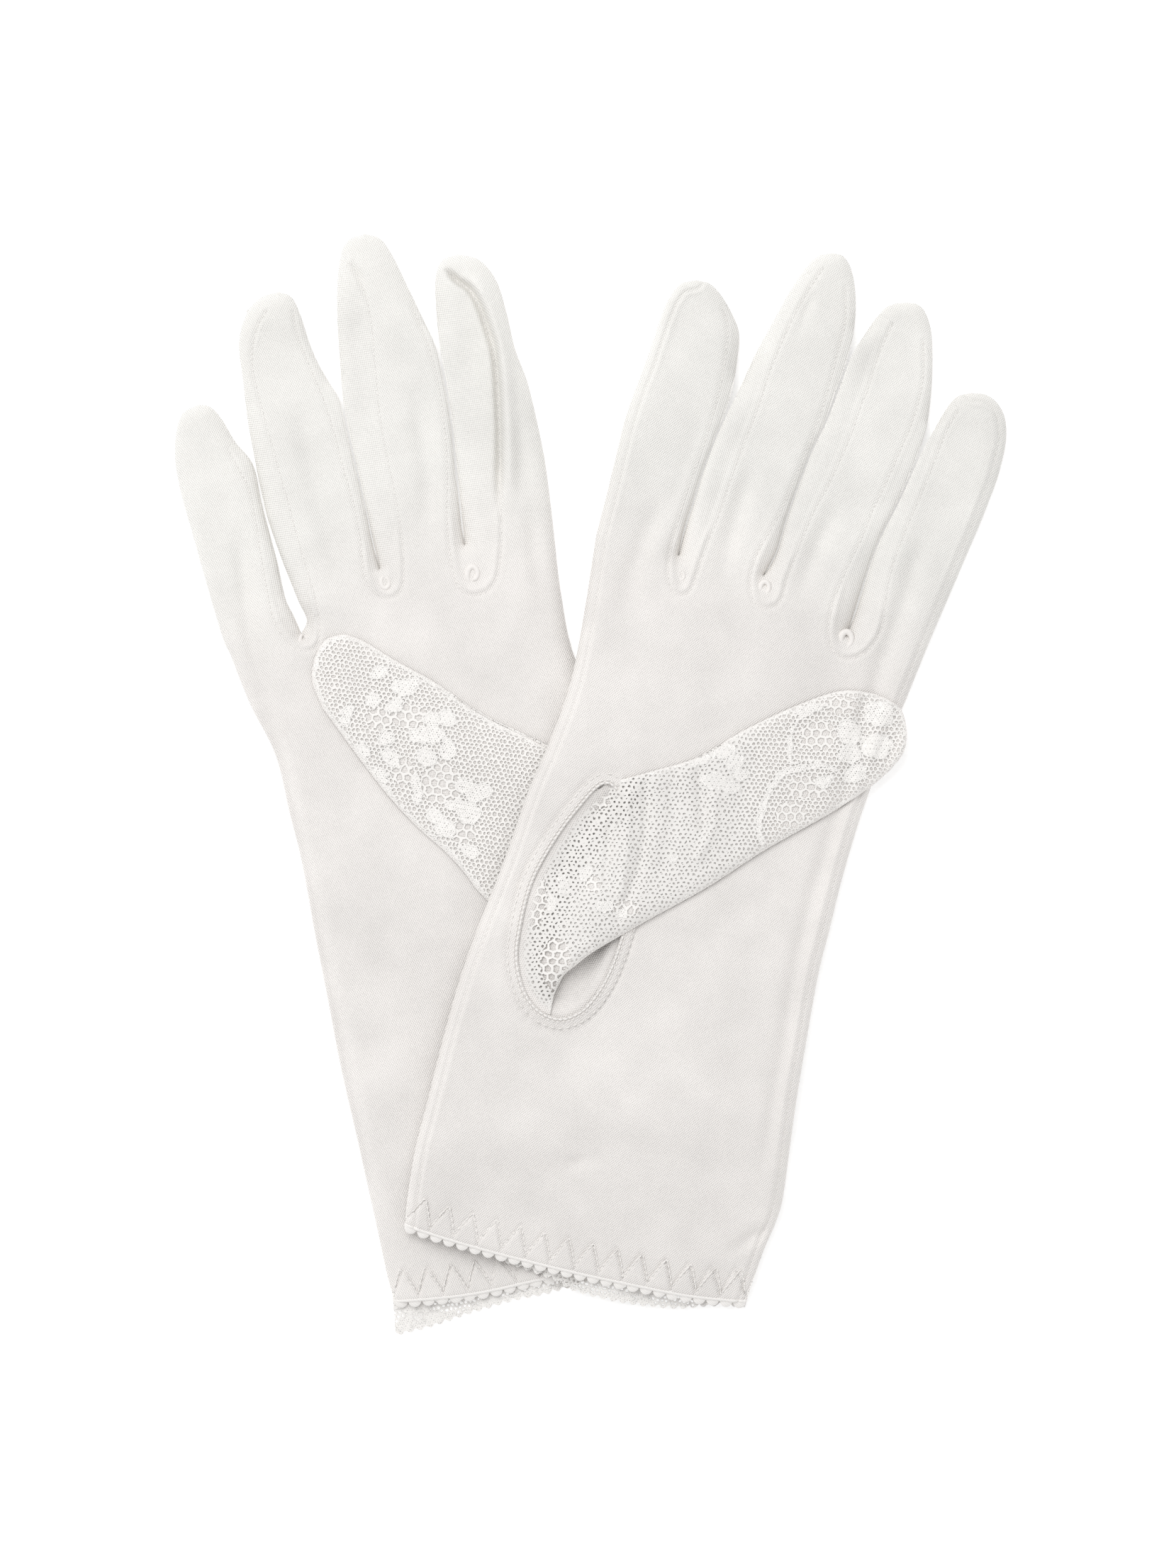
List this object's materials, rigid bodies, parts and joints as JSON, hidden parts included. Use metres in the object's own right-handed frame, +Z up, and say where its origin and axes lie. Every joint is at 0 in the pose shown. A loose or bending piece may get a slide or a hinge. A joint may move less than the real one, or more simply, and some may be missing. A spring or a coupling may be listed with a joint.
{
  "type": "pair of lace wedding gloves",
  "caption": "Short wedding gloves with knitted palms, lace backs and lace thumbs, lying palm up and crossed, with fingers that fold and a pointed stitched hem.",
  "frame": {"origin": "on the surface the gloves lie on, under the middle of the pair", "axes": "+Y from the cuffs towards the fingertips, +X towards the left-hand glove's fingers, +Z up out of the palms"},
  "size_m": [0.188, 0.2486, 0.0171],
  "materials": {
    "knit": "fine off-white nylon knit",
    "lace": "off-white floral net lace",
    "thread": "off-white sewing thread and picot loops"
  },
  "bodies": {
    "right_hand": {"right_palm_panel": "knit", "right_back_panel": "lace", "right_index_side_seam": "knit", "right_little_side_seam": "knit", "right_thumb_hole_seam": "knit", "right_thumb_root": "lace", "right_crotch_quirks": "knit", "right_hem_band": "knit", "right_hem_stitching": "thread", "right_picot_edging": "thread"},
    "right_index_finger": {"right_index_palm_face": "knit", "right_index_lace_face": "lace", "right_index_thumb_side_wall": "knit", "right_index_little_side_wall": "knit"},
    "right_middle_finger": {"right_middle_palm_face": "knit", "right_middle_lace_face": "lace", "right_middle_thumb_side_wall": "knit", "right_middle_little_side_wall": "knit"},
    "right_ring_finger": {"right_ring_palm_face": "knit", "right_ring_lace_face": "lace", "right_ring_thumb_side_wall": "knit", "right_ring_little_side_wall": "knit"},
    "right_little_finger": {"right_little_palm_face": "knit", "right_little_lace_face": "lace", "right_little_thumb_side_wall": "knit", "right_little_little_side_wall": "knit"},
    "right_thumb": {"right_thumb_lace": "lace", "right_thumb_lining": "knit", "right_thumb_seam": "knit"},
    "left_hand": {"left_palm_panel": "knit", "left_back_panel": "lace", "left_index_side_seam": "knit", "left_little_side_seam": "knit", "left_thumb_hole_seam": "knit", "left_thumb_root": "lace", "left_crotch_quirks": "knit", "left_hem_band": "knit", "left_hem_stitching": "thread", "left_picot_edging": "thread"},
    "left_index_finger": {"left_index_palm_face": "knit", "left_index_lace_face": "lace", "left_index_thumb_side_wall": "knit", "left_index_little_side_wall": "knit"},
    "left_middle_finger": {"left_middle_palm_face": "knit", "left_middle_lace_face": "lace", "left_middle_thumb_side_wall": "knit", "left_middle_little_side_wall": "knit"},
    "left_ring_finger": {"left_ring_palm_face": "knit", "left_ring_lace_face": "lace", "left_ring_thumb_side_wall": "knit", "left_ring_little_side_wall": "knit"},
    "left_little_finger": {"left_little_palm_face": "knit", "left_little_lace_face": "lace", "left_little_thumb_side_wall": "knit", "left_little_little_side_wall": "knit"},
    "left_thumb": {"left_thumb_lace": "lace", "left_thumb_lining": "knit", "left_thumb_seam": "knit"}
  },
  "joints": [
    {"name": "left_glove_lift", "type": "slide", "parent": "right_hand", "child": "left_hand", "axis": [0, 0, 1], "range_m": [0, 0.12]},
    {"name": "right_index_fold", "type": "hinge", "parent": "right_hand", "child": "right_index_finger", "pos_m": [-0.01704, 0.04895, 0.006], "axis": [0.9854, 0.1702, 0], "range_deg": [0, 75]},
    {"name": "right_middle_fold", "type": "hinge", "parent": "right_hand", "child": "right_middle_finger", "pos_m": [-0.03645, 0.04625, 0.006], "axis": [0.9826, 0.1857, 0], "range_deg": [0, 75]},
    {"name": "right_ring_fold", "type": "hinge", "parent": "right_hand", "child": "right_ring_finger", "pos_m": [-0.05706, 0.04324, 0.006], "axis": [0.9759, 0.2181, 0], "range_deg": [0, 75]},
    {"name": "right_little_fold", "type": "hinge", "parent": "right_hand", "child": "right_little_finger", "pos_m": [-0.07406, 0.02724, 0.006], "axis": [0.9699, 0.2436, 0], "range_deg": [0, 75]},
    {"name": "left_index_fold", "type": "hinge", "parent": "left_hand", "child": "left_index_finger", "pos_m": [0.00957, 0.04738, 0.01359], "axis": [0.9713, -0.2256, -0.0755], "range_deg": [0, 75]},
    {"name": "left_middle_fold", "type": "hinge", "parent": "left_hand", "child": "left_middle_finger", "pos_m": [0.02894, 0.04656, 0.01201], "axis": [0.9403, -0.3328, -0.071], "range_deg": [0, 75]},
    {"name": "left_ring_fold", "type": "hinge", "parent": "left_hand", "child": "left_ring_finger", "pos_m": [0.04867, 0.04045, 0.01051], "axis": [0.9448, -0.3196, -0.0716], "range_deg": [0, 75]},
    {"name": "left_little_fold", "type": "hinge", "parent": "left_hand", "child": "left_little_finger", "pos_m": [0.06524, 0.02833, 0.00937], "axis": [0.9231, -0.3785, -0.0687], "range_deg": [0, 75]},
    {"name": "right_thumb_lift", "type": "hinge", "parent": "right_hand", "child": "right_thumb", "pos_m": [-0.01925, -0.011, 0.0084], "axis": [0.3408, 0.9401, 0], "range_deg": [0, 80]},
    {"name": "left_thumb_open", "type": "hinge", "parent": "left_hand", "child": "left_thumb", "pos_m": [-0.0018, -0.026, 0.01605], "axis": [-0.1694, -0.9855, 0], "range_deg": [0, 150]}
  ]
}
